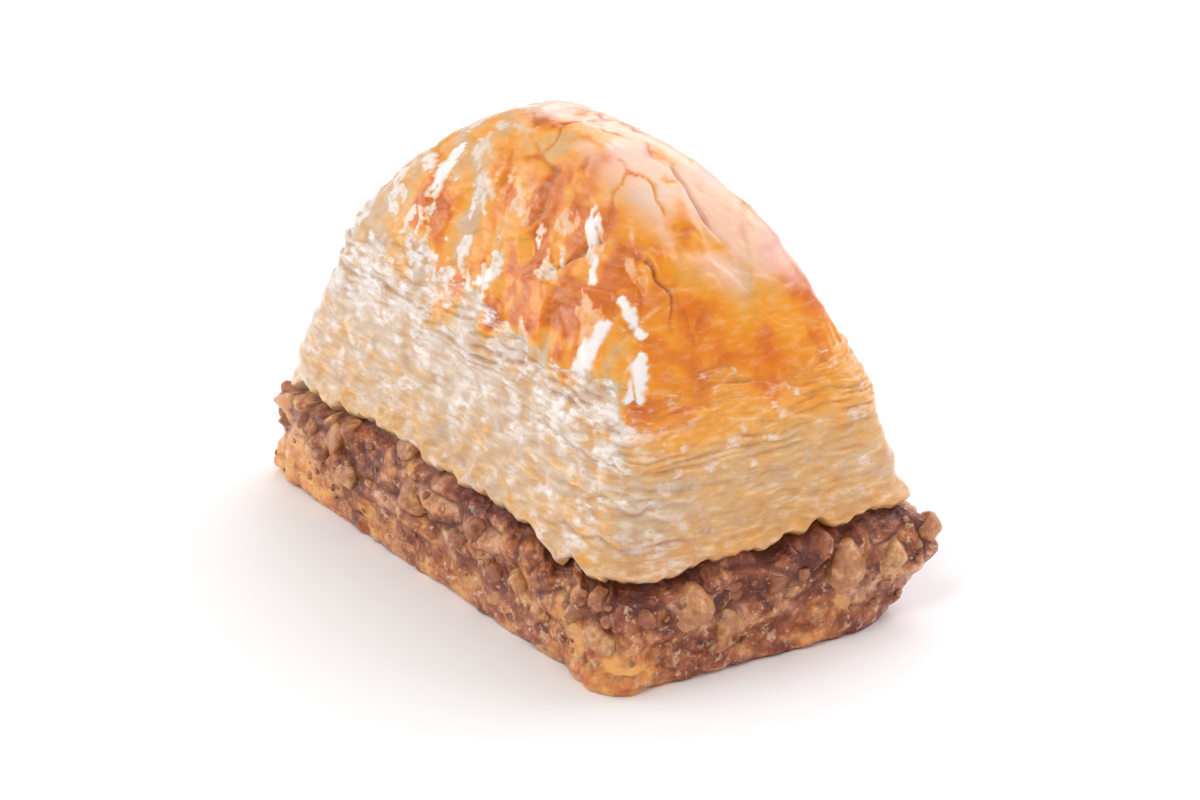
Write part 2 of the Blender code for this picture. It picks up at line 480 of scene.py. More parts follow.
def soaked_material(name):
    """Ground walnut in syrup, mauve-brown, and the sheets soaked brown and gold below it."""
    m = Recipe(name)
    grain = m.noise(0.45, 4)
    patch = m.noise(2.6, 3)
    level = m.math("ADD", m.math("MULTIPLY", patch, 0.25), m.math("MULTIPLY", grain, 0.35))
    level = m.math("ADD", level, m.math("MULTIPLY", m.kept("shade"), 0.4))
    mauve, brown, sheets = (m.ramp(level, *zip(PASTE_LEVELS, tones)) for tones in (MAUVE, BROWN, SHEETS))
    paste = m.blend(m.spread(m.noise(3.6, 2), 0.42, 0.58), mauve, brown)
    colour = m.blend(m.kept("soak"), paste, sheets)
    amber = m.blend(m.spread(level, 0.34, 0.60), tone(198, 90, 32), tone(250, 178, 94))
    colour = m.blend(m.kept("honey"), colour, amber)
    # painted shade in the filling's creases and under the stack's foot; in the soaked base, darker lines
    # between the sheets and darker spots
    colour = m.blend(m.math("MULTIPLY", m.kept("gap"), 0.85), colour, tone(92, 34, 18))
    # painted sparkles: small light spots where the syrup would glint, left out of the painted shade
    painted_sparkles = m.spread(m.noise(0.8, 5, 0.75), 0.55, 0.64, 0.0, 0.7)
    painted_sparkles = m.math("MULTIPLY", painted_sparkles, m.spread(m.kept("gap"), 0.0, 0.5, 1.0, 0.0))
    colour = m.blend(painted_sparkles, colour, tone(240, 204, 172))
    normal = m.bump(m.noise(0.25, 3), 0.7, 0.12, m.bump(grain, 0.7, 0.3))
    return m.finish(colour, m.spread(grain, 0.3, 0.7, 0.3, 0.55), normal, 0.4, (1.8, 0.8, 0.4), 0.7, 0.07)


def walnut_material():
    """Broken walnut: pale flesh, brown skin left on some faces, and a smear of the paste."""
    m = Recipe("chopped_walnut")
    fibre = m.noise(0.6, 4)
    colour = m.ramp(m.math("ADD", m.kept("shade"), m.spread(fibre, 0.3, 0.7, -0.3, 0.3)), *WALNUT)
    colour = m.blend(m.math("MULTIPLY", m.kept("husk"), 0.7), colour, tone(140, 84, 50))
    smear = m.math("ADD", m.noise(1.4, 4, 0.6), m.spread(fibre, 0.3, 0.7, -0.06, 0.06))
    smear = m.spread(smear, 0.45, 0.57, 0.0, 0.6)
    colour = m.blend(smear, colour, tone(150, 82, 54))
    normal = m.bump(m.noise(0.2, 3), 0.4, 0.1, m.bump(fibre, 0.6, 0.3))
    return m.finish(colour, m.spread(fibre, 0.3, 0.7, 0.3, 0.5), normal, 0.5, (1.8, 0.9, 0.5), 0.9, 0.08)


# -------- risen filo

SIDE_TOP = 28.0  # the cut sides are drawn up to here, behind the crust
CAP_START = 32.5  # above this height the dome is felt from over it
SIDE_ROWS = 138  # of the grid of the cut sides
DOME_ROWS = 96  # of the crust's grid, up to CAP_START
CAP_STEPS = 52  # from there to the middle of the top
SHEET = 0.72  # mean pitch of the sheets that show as separate edges
SHEETS_APART = 9.7  # distance between two sheets' places in the noise, so that they differ
LEDGE = 3.1  # pitch of the bundles that curl out at the near corner
LOW_STACK = (FOOT + 2, FOOT + 8)  # the sheets are pressed together below, and loose above
SHOULDER = (27.0, 33.0)  # the dome's sides turn in between these heights
CROWN = (31.0, 37.0)  # and its crown begins between these
DEEPEST_BAKE = 0.86


def laid_sheets(points):
    """Each point's place in its sheet, 0 to 1, and points for noise that differs by sheet, and by border."""
    warp = noises(points, (0.9, (10, 10, 5), 5), (0.3, (3, 3, 2), 6), (0.1, 1.2, 15))
    level = (points[..., 2] + warp) / SHEET
    sheet = np.floor(level)
    key = np.stack([points[..., 0], points[..., 1], SHEETS_APART * sheet], -1)
    border = np.stack([points[..., 0], points[..., 1], SHEETS_APART * np.round(level)], -1)
    return level - sheet, key, border


def ledges(points):
    """Sheets that curl out over each other down the near corner: relief, and the shade under each."""
    height = points[..., 2]
    waved = height + 0.9 * noise(points * (1, 1, 0), 3.0, 39) + 0.2 * noise(points, 1.1, 40)
    part = waved / LEDGE % 1
    share = ease(to_corner(points), 1.15, 1.5) * ease(height, FOOT + 1, FOOT + 3)
    share *= 1 - ease(height, CRUST_EDGE - 1, CRUST_EDGE + 3)
    relief = share * (0.55 * (1 - part) ** 2 * ease(part, 0, 0.08) - 0.15)
    return relief, share * ease(part, 0.86, 0.98)


def sheet_edges(points, above, on_right):
    """Relief of the cut sheets, and how deep in a gap each point is, where shade is painted. The sheets are
    crisp just below the crust, and pressed together further down."""
    low = 1 - ease(points[..., 2], *LOW_STACK)
    part, key, border = laid_sheets(points)
    shown = ease(noise(border, (5, 5, 4), 10), -0.2, 0.35)
    line = shown * bump(np.minimum(part, 1 - part), 0, 0.17)
    zone = mix(bump(above, -1.0, 3.2), 0.8 * bump(above, -2.5, 4.5), on_right)
    crisp = np.clip(zone * (0.85 + 0.7 * noise(points, 5.0, 9)), 0.18, 1)
    offset = noises(key, (0.16, (5, 5, 5), 7), (0.10, (1.7, 1.7, 5), 8))
    rounded = 0.08 * (1 - np.abs(2 * part - 1) ** 3)
    relief = crisp * (offset + rounded - mix(0.26, 0.18, on_right) * line)
    relief += noises(points, (0.12, (3.4, 3.4, 2.4), 13), (0.06, (1.3, 1.3, 0.6), 14))
    relief += mix(0.16, 0.04, on_right) * noise(points, (1.9, 1.9, 1.7), 38)
    relief += 0.35 * ease(above, -5.0, -1.0) * noise(key, (4.0, 4.0, 14.0), 44)
    folds = 0.4 - np.abs(noise(points, (4.2, 4.2, 3.4), 16))
    relief += 0.8 * low * folds * (1 - 0.5 * on_right)
    ledge, under = ledges(points)
    # painted shade between the sheets and under the ledges; some sheets darker at random, and the low +X side
    # darker
    gap = crisp * line * mix(0.7, 0.75, on_right) + 0.5 * ease(-noise(key, (2.2, 2.2, 4), 17), 0.35, 0.8)
    return relief + ledge, np.clip(gap + 0.7 * under + 0.25 * low * on_right, 0, 1)


def painted_glint_share(points, above, on_right):
    """Painted glints: how white the cut sheets are painted where they shine, in blotches in front, in fewer
    on the +X side, most at the corner.
    """
    low = 1 - ease(points[..., 2], *LOW_STACK)
    _, key, _ = laid_sheets(points)
    blotch = noise(points, (1.8, 1.8, 1.5), 11) + 0.5 * noise(key, (2.0, 2.0, 4), 36)
    blotch += 0.3 * noise(points, 5.0, 12)
    in_front = 0.9 * ease(blotch + 0.4 * ease(above, -6, -1), 0.0, 0.45) * (1 - 0.55 * low)
    fleck = noise(key, (1.5, 1.5, 4), 37) + 0.4 * noise(points, 4.0, 12)
    at_right = 0.7 * ease(fleck, 0.3, 0.6) * (1 - 0.8 * low)
    at_corner = 0.6 * bump(to_corner(points), 1.45, 0.2) * ease(blotch, -0.4, 0.1)
    return np.clip(mix(in_front, at_right, on_right) + at_corner, 0, 1)


def bake_at(points, above, on_right):
    """How baked each place is, from the cut sides up to the crust, with a broken border between them."""
    _, key, _ = laid_sheets(points)
    streaks = noises(key, (0.09, (4, 4, 4), 27), (0.06, (1.3, 1.3, 4), 29))
    side = mix(front_bake(points, key, streaks), right_bake(points, streaks), on_right)
    broken = noises(points, (4.5, (4.0, 4.0, 3.5), 25), (1.8, 1.5, 26))
    over_border = above + mix(1.0, 0.5, on_right) * broken
    crusted = ease(over_border, mix(-1.5, -3.0, on_right), mix(3.5, 2.0, on_right))
    return mix(side, crust_bake(points, on_right), crusted)


def front_bake(points, key, streaks):
    """Cream, with golden patches where the sheets curl at the near corner."""
    height = points[..., 2]
    low = 1 - ease(height, FOOT, FOOT + 7)
    bake = mix(0.17, 0.07, ease(height, FOOT + 4, FOOT + 12)) + streaks
    bake += noises(points, (0.04, (4, 4, 2), 20), (0.04, (1.5, 1.5, 1.0), 21))
    bake += 0.08 * low * (0.8 + noise(points, 3.0, 19))
    bake += 0.12 * ease(noise(points, (2.2, 2.2, 1.2), 24), 0.15, 0.6)
    golden = 0.03 + 0.26 * ease(noise(key, (2.2, 2.2, 3.0), 28), 0.0, 0.35)
    return bake + ease(to_corner(points), 1.2, 1.6) * golden * ease(height, FOOT + 1, FOOT + 5)


def right_bake(points, streaks):
    """Tan on the +X side, more golden higher up."""
    height = points[..., 2]
    low = 1 - ease(height, FOOT, FOOT + 7)
    bake = mix(0.22, 0.48, ease(height, FOOT + 6, FOOT + 14)) + 0.6 * streaks + 0.10 * low
    bake -= 0.11 * ease(to_corner(points), 1.15, 1.6) * ease(height, FOOT, FOOT + 4)
    bake += noises(points, (0.04, (6, 6, 1.0), 22), (0.05, (2.6, 2.6, 1.4), 42), (0.04, 1.0, 23))
    return bake - 0.03 * ease(noise(points, (3.6, 3.6, 2.0), 18), 0.2, 0.7)


def crust_bake(points, on_right):
    """Golden to orange in spots, plainer to the right, deepest in front and paler at the left end."""
    along, across = plan_place(points)
    plain = np.maximum(on_right, ease(along, 0.2, 0.6))
    spots = np.tanh(noises(points, (2.5, (2.8, 2.8, 4.4), 101), (0.8, 1.3, 102)))
    bake = 0.66 + 0.22 * noise(points, 7.0, 100) + mix(0.23, 0.10, plain) * spots
    bake = np.maximum(bake, mix(0.36, 0.44, plain))
    bake -= 0.56 * ease(-along, 0.34, 0.6) * (1 - ease(points[..., 2], *SHOULDER))
    bake -= 0.10 * on_right * ease(noise(points, 9.0, 43), -0.1, 0.4)
    bake += 0.14 * bump(along, 0.25, 0.4) * ease(-across, 0.1, 0.5)
    return bake - 0.13 * ease(-along, -0.15, 0.35)


def make_sides(skin, bearings, foot, material):
    """The cut sides of the stack, with a ragged foot that hangs over the filling."""
    heights = np.arange(FOOT + 2.4, SIDE_TOP + 0.1, RAY_STEP)
    reach = skin.felt(bearings, heights, 1.0, 4.0)
    z = foot + (SIDE_TOP - foot) * np.linspace(0, 1, SIDE_ROWS)[:, None]
    points = wall_points(stretch_rows(reach, heights, z), bearings, z)
    above = z - crust_line(points)
    on_right = faces_right(points)
    relief, gap = sheet_edges(points, above, on_right)
    # painted glints: white blotches where the cut sheets would catch the lamps
    painted_glint = painted_glint_share(points, above, on_right)
    over_foot = z - foot
    relief += 0.45 * bump(over_foot, 0.7, 0.8) - 0.5 * bump(over_foot, 0, 0.25)
    relief -= 0.9 * ease(above, 1.5, 4.0)
    points = points + normals_of(points) * relief[..., None]
    values = {"bake": bake_at(points, above, on_right), "gap": gap, "painted_glint": painted_glint}
    under = drawn_in(points[0], (0.5, 0.9, 0.97), FOOT + 1.5)
    over = drawn_in(points[-1], (0.9, 0.5), SIDE_TOP)
    return closed_piece("filo_sides", under, points, over, material, values)


def stretch_rows(table, heights, wanted):
    """Reads a table of rows at these heights at the heights that each column wants."""
    place = (wanted - heights[0]) / (heights[1] - heights[0])
    row = np.clip(np.floor(place).astype(int), 0, len(heights) - 2)
    part = np.maximum(place, -6) - row
    column = np.arange(table.shape[1])[None, :]
    return table[row, column] * (1 - part) + table[row + 1, column] * part


def foot_line(skin, bearings):
    """The stack's lower edge in each direction, in rounded lobes over the filling: heights and reach."""
    reach = np.array([[skin.reach(b, FOOT + 2.4) for b in bearings]])
    flat = wall_points(reach, bearings, FOOT)[0]
    lift = np.array([FILLING.top_at(p) for p in flat])
    lift = sum(np.roll(lift, i) for i in range(-7, 8)) / 15
    lobes = 0.9 - 2.3 * np.sqrt(noise(flat, 4.6, 30) ** 2 + 0.015)
    ragged = noises(flat, (0.35, 1.4, 31), (0.18, 0.6, 32))
    in_front = bump(flat[:, 0], -0.25 * HALF_LENGTH, 0.4 * HALF_LENGTH) * (flat[:, 1] < 0)
    return lift + lobes + ragged + 0.6 * in_front, reach[0]


def torn_glint_share(points):
    """1 in the torn strips, which are painted white as highlights, 0 outside them, with ragged borders and
    holes.
    """
    share = np.zeros(points.shape[:-1])
    ragged = noises(points, (0.35, 1.8, 140), (0.35, 0.8, 141), (0.2, 0.45, 142))
    middle, reach = MIDDLE * (1, 1, 0), np.array([HALF_LENGTH, HALF_WIDTH, TOP])
    for first, last, half_width in TORN_GLINT_STRIPS:
        start = middle + first * reach
        run = middle + last * reach - start
        t = np.clip((points - start) @ run / (run @ run), 0, 1)
        away = np.linalg.norm(points - start - t[..., None] * run, axis=-1) + ragged
        narrow = half_width * (0.3 + 0.85 * np.sin(math.pi * t) ** 0.7)
        share = np.maximum(share, 1 - ease(away / narrow, 0.6, 1.3))
    return share * ease(noise(points, (0.7, 0.7, 1.8), 143), -0.62, -0.3)


def lapping_sheets(points):
    """Large sheets that end over each other: relief, and how near each point is to the foot of an edge."""
    squeezed = points * (1, 1, 1.4)
    relief = np.zeros(points.shape[:-1])
    cliff = np.zeros(points.shape[:-1])
    for k in range(4):
        field = noises(squeezed, (1, 13.0, 50 + 3 * k), (0.2, 3.5, 51 + 3 * k)) - (k - 1.5) * 0.25
        curl = ease(noise(points, 5.0, 80 + k), 0.0, 0.5)
        relief += 0.10 * ease(field, -0.02, 0.03) + 0.08 * curl * bump(field, 0.05, 0.06) * (field > 0)
        cliff += bump(field, -0.03, 0.03)
    return relief - relief.mean(), cliff


def cracks_and_creases(points, crown):
    """Open cracks over the middle and the right, soft creases on the crown, and the relief of both."""
    along, across = plan_place(points)
    field = noises(points, (1, (11, 7, 11), 97), (0.2, 2.5, 98))
    crack = bump(field, 0, 0.03) * ease(noise(points, 6, 99), -0.2, 0.2)
    crack *= ease(points[..., 2], *SHOULDER) * ease(along + 0.3 * across, -0.25, 0.05)
    bends = noises(points, (1, (6.5, 4.5, 6.5), 146), (0.3, 2.0, 147), (0.1, 0.8, 148))
    crease = bump(bends, 0.05, 0.08) * crown * ease(noise(points, 3.0, 149), -0.25, 0.2)
    return crack, crease, 0.10 * crown * ease(bends, 0.0, 0.1) - 0.10 * crease - 0.4 * crack


def flaked_and_glint_share(points, slant, key, calm):
    """1 where the top sheet has flaked away, in ragged patches, most of them towards the left end. They are
    painted pale, and white as painted glare.
    """
    along, _ = plan_place(points)
    patch = noises(slant, (1, (3.2, 2.8, 5.0), 105), (0.45, (1.2, 1.1, 2.0), 106))
    patch += 0.2 * noise(points, 0.5, 107)
    patch += 0.14 * ease(-along, -0.35, 0.2) * (1 - ease(points[..., 2], 32, 38))
    flaked_and_glint = ease(patch + 0.5 * (key - 0.5), 0.31, 0.39)
    return flaked_and_glint * (1 - calm) * (1 - 0.6 * ease(to_corner(points), 0.6, 1.0))


def crown_sheen(points):
    """Painted sheen: pale patches over the very top, and down the slope to its right."""
    along, across = plan_place(points)
    height = points[..., 2]
    patches = ease(noises(points, (1, (6.0, 4.0, 6.0), 108), (0.35, 1.8, 109)), -0.6, -0.1)
    slope = ease(height + 10 * along + 14 * across, 35.5, 39.5) * ease(height, 28, 32)
    place = np.maximum(slope, ease(height, TOP - 1.3, TOP - 0.4))
    return patches * place * ease(along, -0.45, -0.1) * (1 - ease(across, 0.4, 0.7))


def crust_relief(points, on_right):
    """Crumpled, glazed sheets that lap over each other. Returns the relief, the share of torn sheets and
    painted glints at each place, how much more it is baked, and values for the mesh."""
    x, y, height = points[..., 0], points[..., 1], points[..., 2]
    along, _ = plan_place(points)
    crown = ease(height, *CROWN) * ease(along, -0.5, 0.1)
    to_right = ease(along + 0.35 * noise(points, 14, 41), 0.35, 0.7)
    calm = np.maximum(np.maximum(on_right, to_right), crown)
    laps, cliff = lapping_sheets(points)
    slant = np.stack([x + 0.5 * height, 1.4 * y, height - 0.5 * x], -1)
    bent = slant + np.stack([noises(points, (0.9, 3.5, 85 + k), (0.3, 1.3, 88 + k)) for k in range(3)], -1)
    large, large_border, large_key = facets(bent, (7.5, 6.5, 9.0), 90, 0.06)
    small, small_border, small_key = facets(bent, (3.0, 2.7, 4.8), 92, 0.05)
    flakes = large + mix(1.0, 0.15, calm) * small
    crumpled = noises(points, (0.09, 2.8, 96), (0.03, 1.4, 95), (0.015, 0.7, 93))
    crack, crease, cut = cracks_and_creases(points, crown)
    relief = mix(0.9, 0.6, calm) * laps + mix(1.0, 0.5, calm) * flakes
    relief += 0.2 * noise(points, 8.0, 94) + mix(1.0, 0.22, calm) * crumpled + cut
    flaked_and_glint = flaked_and_glint_share(points, slant, small_key, calm)
    feathers = ease(noises(points, (1, (0.8, 0.8, 1.5), 144), (0.5, 0.45, 145)), -0.35, 0.25)
    torn_glint_strips = torn_glint_share(points)
    # torn sheets and painted glints: raised a little, painted pale, and kept out of the painted shade
    torn_and_glint = np.maximum(0.7 * flaked_and_glint, torn_glint_strips)
    relief = mix(relief, 0.25 * large, 0.5 * torn_glint_strips) + 0.06 * torn_and_glint
    relief *= 1 - 0.55 * ease(height, 34, 39)
    borders = 0.5 * (1 - calm) * (1 - ease(small_border, 0, 0.07))
    borders = np.maximum(1 - ease(large_border, 0, 0.05), borders)
    # painted shade at the foot of sheet edges and along flake borders, with the cracks and creases darker
    gap = (0.25 * cliff + 0.15 * borders) * mix(1.0, 0.5, calm) * (1 - torn_and_glint) + crack + 0.3 * crease
    more_baked = mix(0.28, 0.05, calm) * (small_key - 0.5) + 0.16 * (large_key - 0.5)
    # the crown baked less, paler as painted sheen; the cracks and creases deeper brown
    more_baked += 0.35 * crack + 0.28 * crease - 0.10 * crown
    values = {
        "gap": np.clip(gap, 0, 1),
        # painted glints: white on the flaked patches and on the strips
        "painted_glint": 0.9 * flaked_and_glint,
        "torn_and_glint": np.maximum(torn_glint_strips, 0.7 * flaked_and_glint * feathers),
        # painted sheen, kept out of the creases
        "sheen": 0.6 * crown_sheen(points) * (1 - crease),
    }
    return relief, torn_and_glint, more_baked, values


def dome_points(skin, bearings, low):
    """Grid over the dome, from its lip almost to the middle: felt from the sides, then from above."""
    heights = np.arange(FOOT + 5.0, CAP_START + 0.1, RAY_STEP)
    reach = skin.felt(bearings, heights, 1.2, 4.0)
    z = low + (CAP_START - low) * np.linspace(0, 1, DOME_ROWS)[:, None]
    sides = wall_points(stretch_rows(reach, heights, z), bearings, z)
    rim = sides[-1]
    middle = rim.mean(axis=0) * (1, 1, 0)
    cap = []
    for share in np.linspace(1, 0, CAP_STEPS + 1)[1:-1]:
        ring = middle + (rim * (1, 1, 0) - middle) * share
        ring[:, 2] = [skin.lid(x, y) for x, y in ring[:, :2]]
        cap.append(ring)
    points = np.concatenate([sides, np.array(cap)])
    points[..., 2] = soften_top(points[..., 2], DOME_ROWS)
    return points


def make_crust(skin, bearings, material):
    """The browned dome, from its ragged lip to the top."""
    low = crust_floor(bearings, skin)
    points = dome_points(skin, bearings, low)
    above = points[..., 2] - crust_line(points)
    on_right = faces_right(points)
    relief, torn_and_glint, more_baked, values = crust_relief(points, on_right)
    bake = np.minimum(bake_at(points, above, on_right) + more_baked * ease(above, 0, 4), DEEPEST_BAKE)
    # the torn places and the painted glints are painted pale
    values = {"bake": mix(bake, 0.05, torn_and_glint), **values}
    from_lip = points[..., 2] - low
    lip = lip_share(points)
    relief = mix(0.25, 1.0, ease(from_lip, 0, 5)) * relief + 0.15
    relief += lip * (0.25 * bump(from_lip, 0.5, 0.8) - 0.4 * bump(from_lip, 0, 0.25))
    relief -= (1 - lip) * 0.75 * (1 - ease(from_lip, 0, 3.5))
    points = points + normals_of(points) * relief[..., None]
    under = [points[0] * (s, s, 1) + (0, 0, dz) for s, dz in ((0.93, 0.9), (0.965, 0.35), (0.985, 0.1))]
    return closed_piece("filo_crust", under, points, points[:0], material, values)


def lip_share(points):
    """1 where the crust ends in a lip, at the corners, and 0 where it fades into the cut sheets."""
    along, across = plan_place(points)
    return ease(np.abs(along * across) + 0.3 * noise(points, 6.0, 35), 0.45, 0.85)


def crust_floor(bearings, skin):
    """Height of the crust's ragged lip in each direction."""
    reach = np.array([[skin.reach(b, CRUST_EDGE) for b in bearings]])
    flat = wall_points(reach, bearings, 0.0)[0]
    return crust_line(flat) + noises(flat, (0.9, 2.2, 33), (0.5, 0.9, 34)) - 0.8


def soften_top(z, first):
    """Blurs the rows over the dome, where the solid's facets would show."""
    blurred = soften(z, 2.0, 6.0)
    share = ease(np.arange(len(z)), first - 6, first + 4)[:, None]
    return mix(z, blurred, share)


# -------- filling

CORE_ROWS = 78

def make_core(bearings, foot, foot_reach, material):
    """Nuts and paste out to the cut, pulled in under the stack's foot, and slumped over the sheets below.
    Also returns the points of its side and the way that each faces, for the chunks on it."""
    heights = np.arange(BASE_TOP + 0.6, FOOT - 0.2, RAY_STEP)
    reach = FILLING.felt(bearings, heights, 0.8, 3.0)
    base = Skin("base_pastry").felt(bearings, heights * 0 + BASE_TOP / 2, 0.8, 3.0)
    flat = wall_points(reach[:1], bearings, 0.0)[0]
    low = np.maximum(0.9 + noises(flat, (1.0, 5.0, 113), (0.5, 1.6, 114)), 0.2)
    top = foot + 1.6
    z = low + (top - low) * np.linspace(0, 1, CORE_ROWS)[:, None]
    out = mix(base[:1], stretch_rows(reach, heights, np.maximum(z, heights[0])), ease(z, 1.8, 4.6))
    below_foot = foot - z
    out = mix(out, np.minimum(out, foot_reach + 0.2), 1 - ease(below_foot, 0.0, 1.5))
    points = wall_points(out, bearings, z)
    lumps, crease, shade = nut_lumps(points)
    relief = mix(0.3, 1.0, ease(below_foot, -0.3, 1.0)) * lumps - 0.5 * (1 - ease(below_foot, 0.2, 1.8))
    relief -= 0.5 * (1 - ease(below_foot, -0.4, 0.4))
    relief -= 0.7 * (1 - ease(z - low, 0, 0.9)) + tuck(points) - corner_point(points)
    ways = normals_of(points) * (1, 1, 0)
    ways /= np.linalg.norm(ways, axis=-1, keepdims=True)
    points = points + ways * relief[..., None]
    # painted shade in the creases between lumps and under the stack's foot
    gap = np.clip(crease + 0.7 * (1 - ease(below_foot, 0.1, 1.3)), 0, 0.9)
    values = {"gap": gap, "shade": shade, "honey": honey_at(points), "soak": soak_at(points)}
    inner = drawn_in(points[0], (0.5, 0.9), points[0][:, 2].mean())
    outer = drawn_in(points[-1], (0.9, 0.5), points[-1][:, 2].mean())
    return closed_piece("nut_core", inner, points, outer, material, values), points, ways


def nut_lumps(points):
    """Coated nut and paste as lumps with sharp creases: relief, painted shade in the creases, and their tone,
    darker where they face +X as painted shade.
    """
    large = np.abs(noises(points, (1, (3.8, 3.8, 3.0), 110), (0.12, 1.2, 114)))
    upper = ease(points[..., 2] + 1.5 * noise(points, 4.0, 118), 3.5, 6.5)
    relief = mix(0.5, 1.3, upper) * large + noises(points, (0.25, 2.2, 111), (0.10, 0.9, 112))
    relief += 0.2 * upper * np.abs(noise(points, 1.4, 113)) - 0.4
    # painted shade in the creases, and darker spots
    crease = 0.9 * upper * (1 - ease(large, 0.0, 0.16)) + 0.35 * ease(-noise(points, 1.1, 119), 0.3, 0.7)
    # darker where the filling faces +X: painted shade
    shade = 0.5 - 0.20 * upper * faces_right(points) + 0.2 * large
    shade += noises(points, (0.5, (3.2, 3.2, 2.6), 115), (0.35, 0.9, 116))
    return relief, np.clip(crease, 0, 1), np.clip(shade, 0, 1)


def tuck(points):
    """How far the lower edge is pulled in at the far right, where the soaked sheets curl up."""
    along, across = plan_place(points)
    return 3.2 * ease(along + across, 1.40, 1.92) * (1 - ease(points[..., 2], -0.5, BASE_TOP + 2.0))


def corner_point(points):
    """How far the near corner is drawn out to a point, low down."""
    return ease(to_corner(points), 1.56, 1.74) * (1 - ease(points[..., 2], BASE_TOP, BASE_TOP + 3))


def soak_at(points):
    """1 in the soaked sheets below the filling, with an uneven border."""
    height = points[..., 2] + noises(points, (0.8, 3.0, 121), (0.4, 1.0, 122))
    return 1 - ease(height, BASE_TOP - 1.2, BASE_TOP + 0.8)


def honey_at(points):
    """Where clear golden syrup has gathered: at the -X end, in patches low down, and at the near corner."""
    along, across = plan_place(points)
    height = points[..., 2]
    ragged = noises(points, (0.15, 3.0, 123), (0.08, 1.2, 124))
    left = ease(-along + ragged - 0.03 * height, 0.40, 0.64) * (1 - ease(height, 4.5, 7.0))
    left *= 1 - 0.5 * ease(noise(points, (2.6, 2.6, 2.0), 125), 0.0, 0.5)
    patches = 0.5 * ease(noise(points, 3.6, 120), 0.05, 0.6) * (1 - ease(height, 0.5, 5.0))
    corner = 0.8 * ease(along - across + ragged, 1.42, 1.64) * (1 - ease(height, 2.0, 6.5))
    return np.clip(left + patches + corner, 0, 0.95)


def ball(rings):
    """Points and triangles of a unit sphere that was cut from a cube."""
    steps = np.tan(np.linspace(-1, 1, rings) * math.pi / 4)
    points, faces = [], []
    for axis, side in itertools.product(range(3), (-1, 1)):
        u, v = np.meshgrid(steps, steps, indexing="ij")
        face = np.empty((rings, rings, 3))
        face[..., axis] = side
        face[..., (axis + 1) % 3] = u
        face[..., (axis + 2) % 3] = v
        start = len(points) * rings * rings
        grid = start + np.arange(rings * rings).reshape(rings, rings)
        quads = np.stack([grid[:-1, :-1], grid[1:, :-1], grid[1:, 1:], grid[:-1, 1:]], -1).reshape(-1, 4)
        faces.append(quads if side == 1 else quads[:, ::-1])
        points.append(face.reshape(-1, 3))
    points, faces = np.concatenate(points), np.concatenate(faces)
    points /= np.linalg.norm(points, axis=1)[:, None]
    unique, back = np.unique(np.round(points, 6), axis=0, return_inverse=True)
    return unique, back.ravel()[faces]


def chunk(sphere, size, dice, cuts):
    """A broken piece: a ball cut by random planes, its husk on one of them."""
    points = sphere * dice.uniform(0.65, 1.2, 3)
    husk = np.zeros(len(points))
    for k in range(cuts):
        way = dice.normal(size=3)
        way /= np.linalg.norm(way)
        depth = dice.uniform(0.45, 0.8)
        beyond = points @ way - depth
        rounded = np.sqrt(np.maximum(beyond, 0) ** 2 + 0.001) - 0.032
        points = points - rounded[:, None] * way * 0.8
        if k == 0 and dice.random() < 0.4:
            husk = ease(beyond, -0.08, 0.05)
    points = points * size / 2
    for amount, grain, seed in ((0.09, 0.5, 7), (0.035, 0.2, 10)):
        points += amount * size * np.stack([noise(points, grain * size, seed + k) for k in range(3)], -1)
    return points, husk


def turned(dice):
    """A random rotation."""
    q, _ = np.linalg.qr(dice.normal(size=(3, 3)))
    return q * np.sign(np.linalg.det(q))


def hero_places(points, ways, bearings):
    """Places on the filling's side for the nuts that are named at the top."""
    places = []
    for along, across, height, size, shade in NUTS:
        bearing = math.atan2(across * HALF_WIDTH, along * HALF_LENGTH) % (2 * math.pi)
        column = int(np.argmin(np.abs(bearings % (2 * math.pi) - bearing)))
        row = int(np.argmin(np.abs(points[:, column, 2] - BASE_TOP - height + 1.0)))
        places.append((points[row, column], ways[row, column], size, shade))
    return places


def scatter(count, draw_size, span, dice, crowding, points, ways, kept=()):
    """Places for chunks on the filling's side, kept apart: point, outward way, size and shade of each.
    Span gives the lowest and highest rows as shares, and a power that draws them together at the top."""
    low, high, rise = span
    rows, columns = points.shape[:2]
    kept = list(kept)
    tries = 0
    while len(kept) < count and tries < 30 * count:
        tries += 1
        column = int(dice.integers(columns))
        row = int((low + (high - low) * dice.random() ** rise) * (rows - 1))
        size = float(draw_size())
        place = points[row, column]
        clear = all(np.linalg.norm(place - p) > crowding * (size + s) / 2 for p, _, s, _ in kept)
        if clear and place[2] > 0.5 * size:
            shade = float(np.clip(dice.normal(0.45, 0.2), 0.05, 0.95))
            kept.append((place, ways[row, column], size, shade))
    return kept


def make_bits(name, places, sphere_rings, cuts, dice, material, named=0):
    """Every chunk of one kind, as one mesh. The first few, which are named, stand out more."""
    sphere, faces = ball(sphere_rings)
    points, quads, shades, husks = [], [], [], []
    for count, (place, way, size, shade) in enumerate(places):
        body, husk = chunk(sphere, size, dice, cuts)
        body = body @ turned(dice).T
        out = dice.uniform(*PROUD) + (0.1 if count < named else 0)
        centre = place + way * (out * size - (body @ way).max())
        centre -= np.maximum((body + centre).max(axis=0) - HIGH - OUTSIDE, 0)
        centre += np.maximum(LOW - OUTSIDE - (body + centre).min(axis=0), 0)
        quads.append(faces + len(points) * len(sphere))
        points.append(body + centre)
        shades.append(np.full(len(sphere), shade))
        husks.append(husk)
    values = {"shade": np.concatenate(shades), "husk": np.concatenate(husks)}
    return new_piece(name, np.concatenate(points), np.concatenate(quads).tolist(), material, values)


# -------- soaked base

BASE_ROWS = 44
SOAKED_SHEET = 0.6  # pitch of the soaked sheets

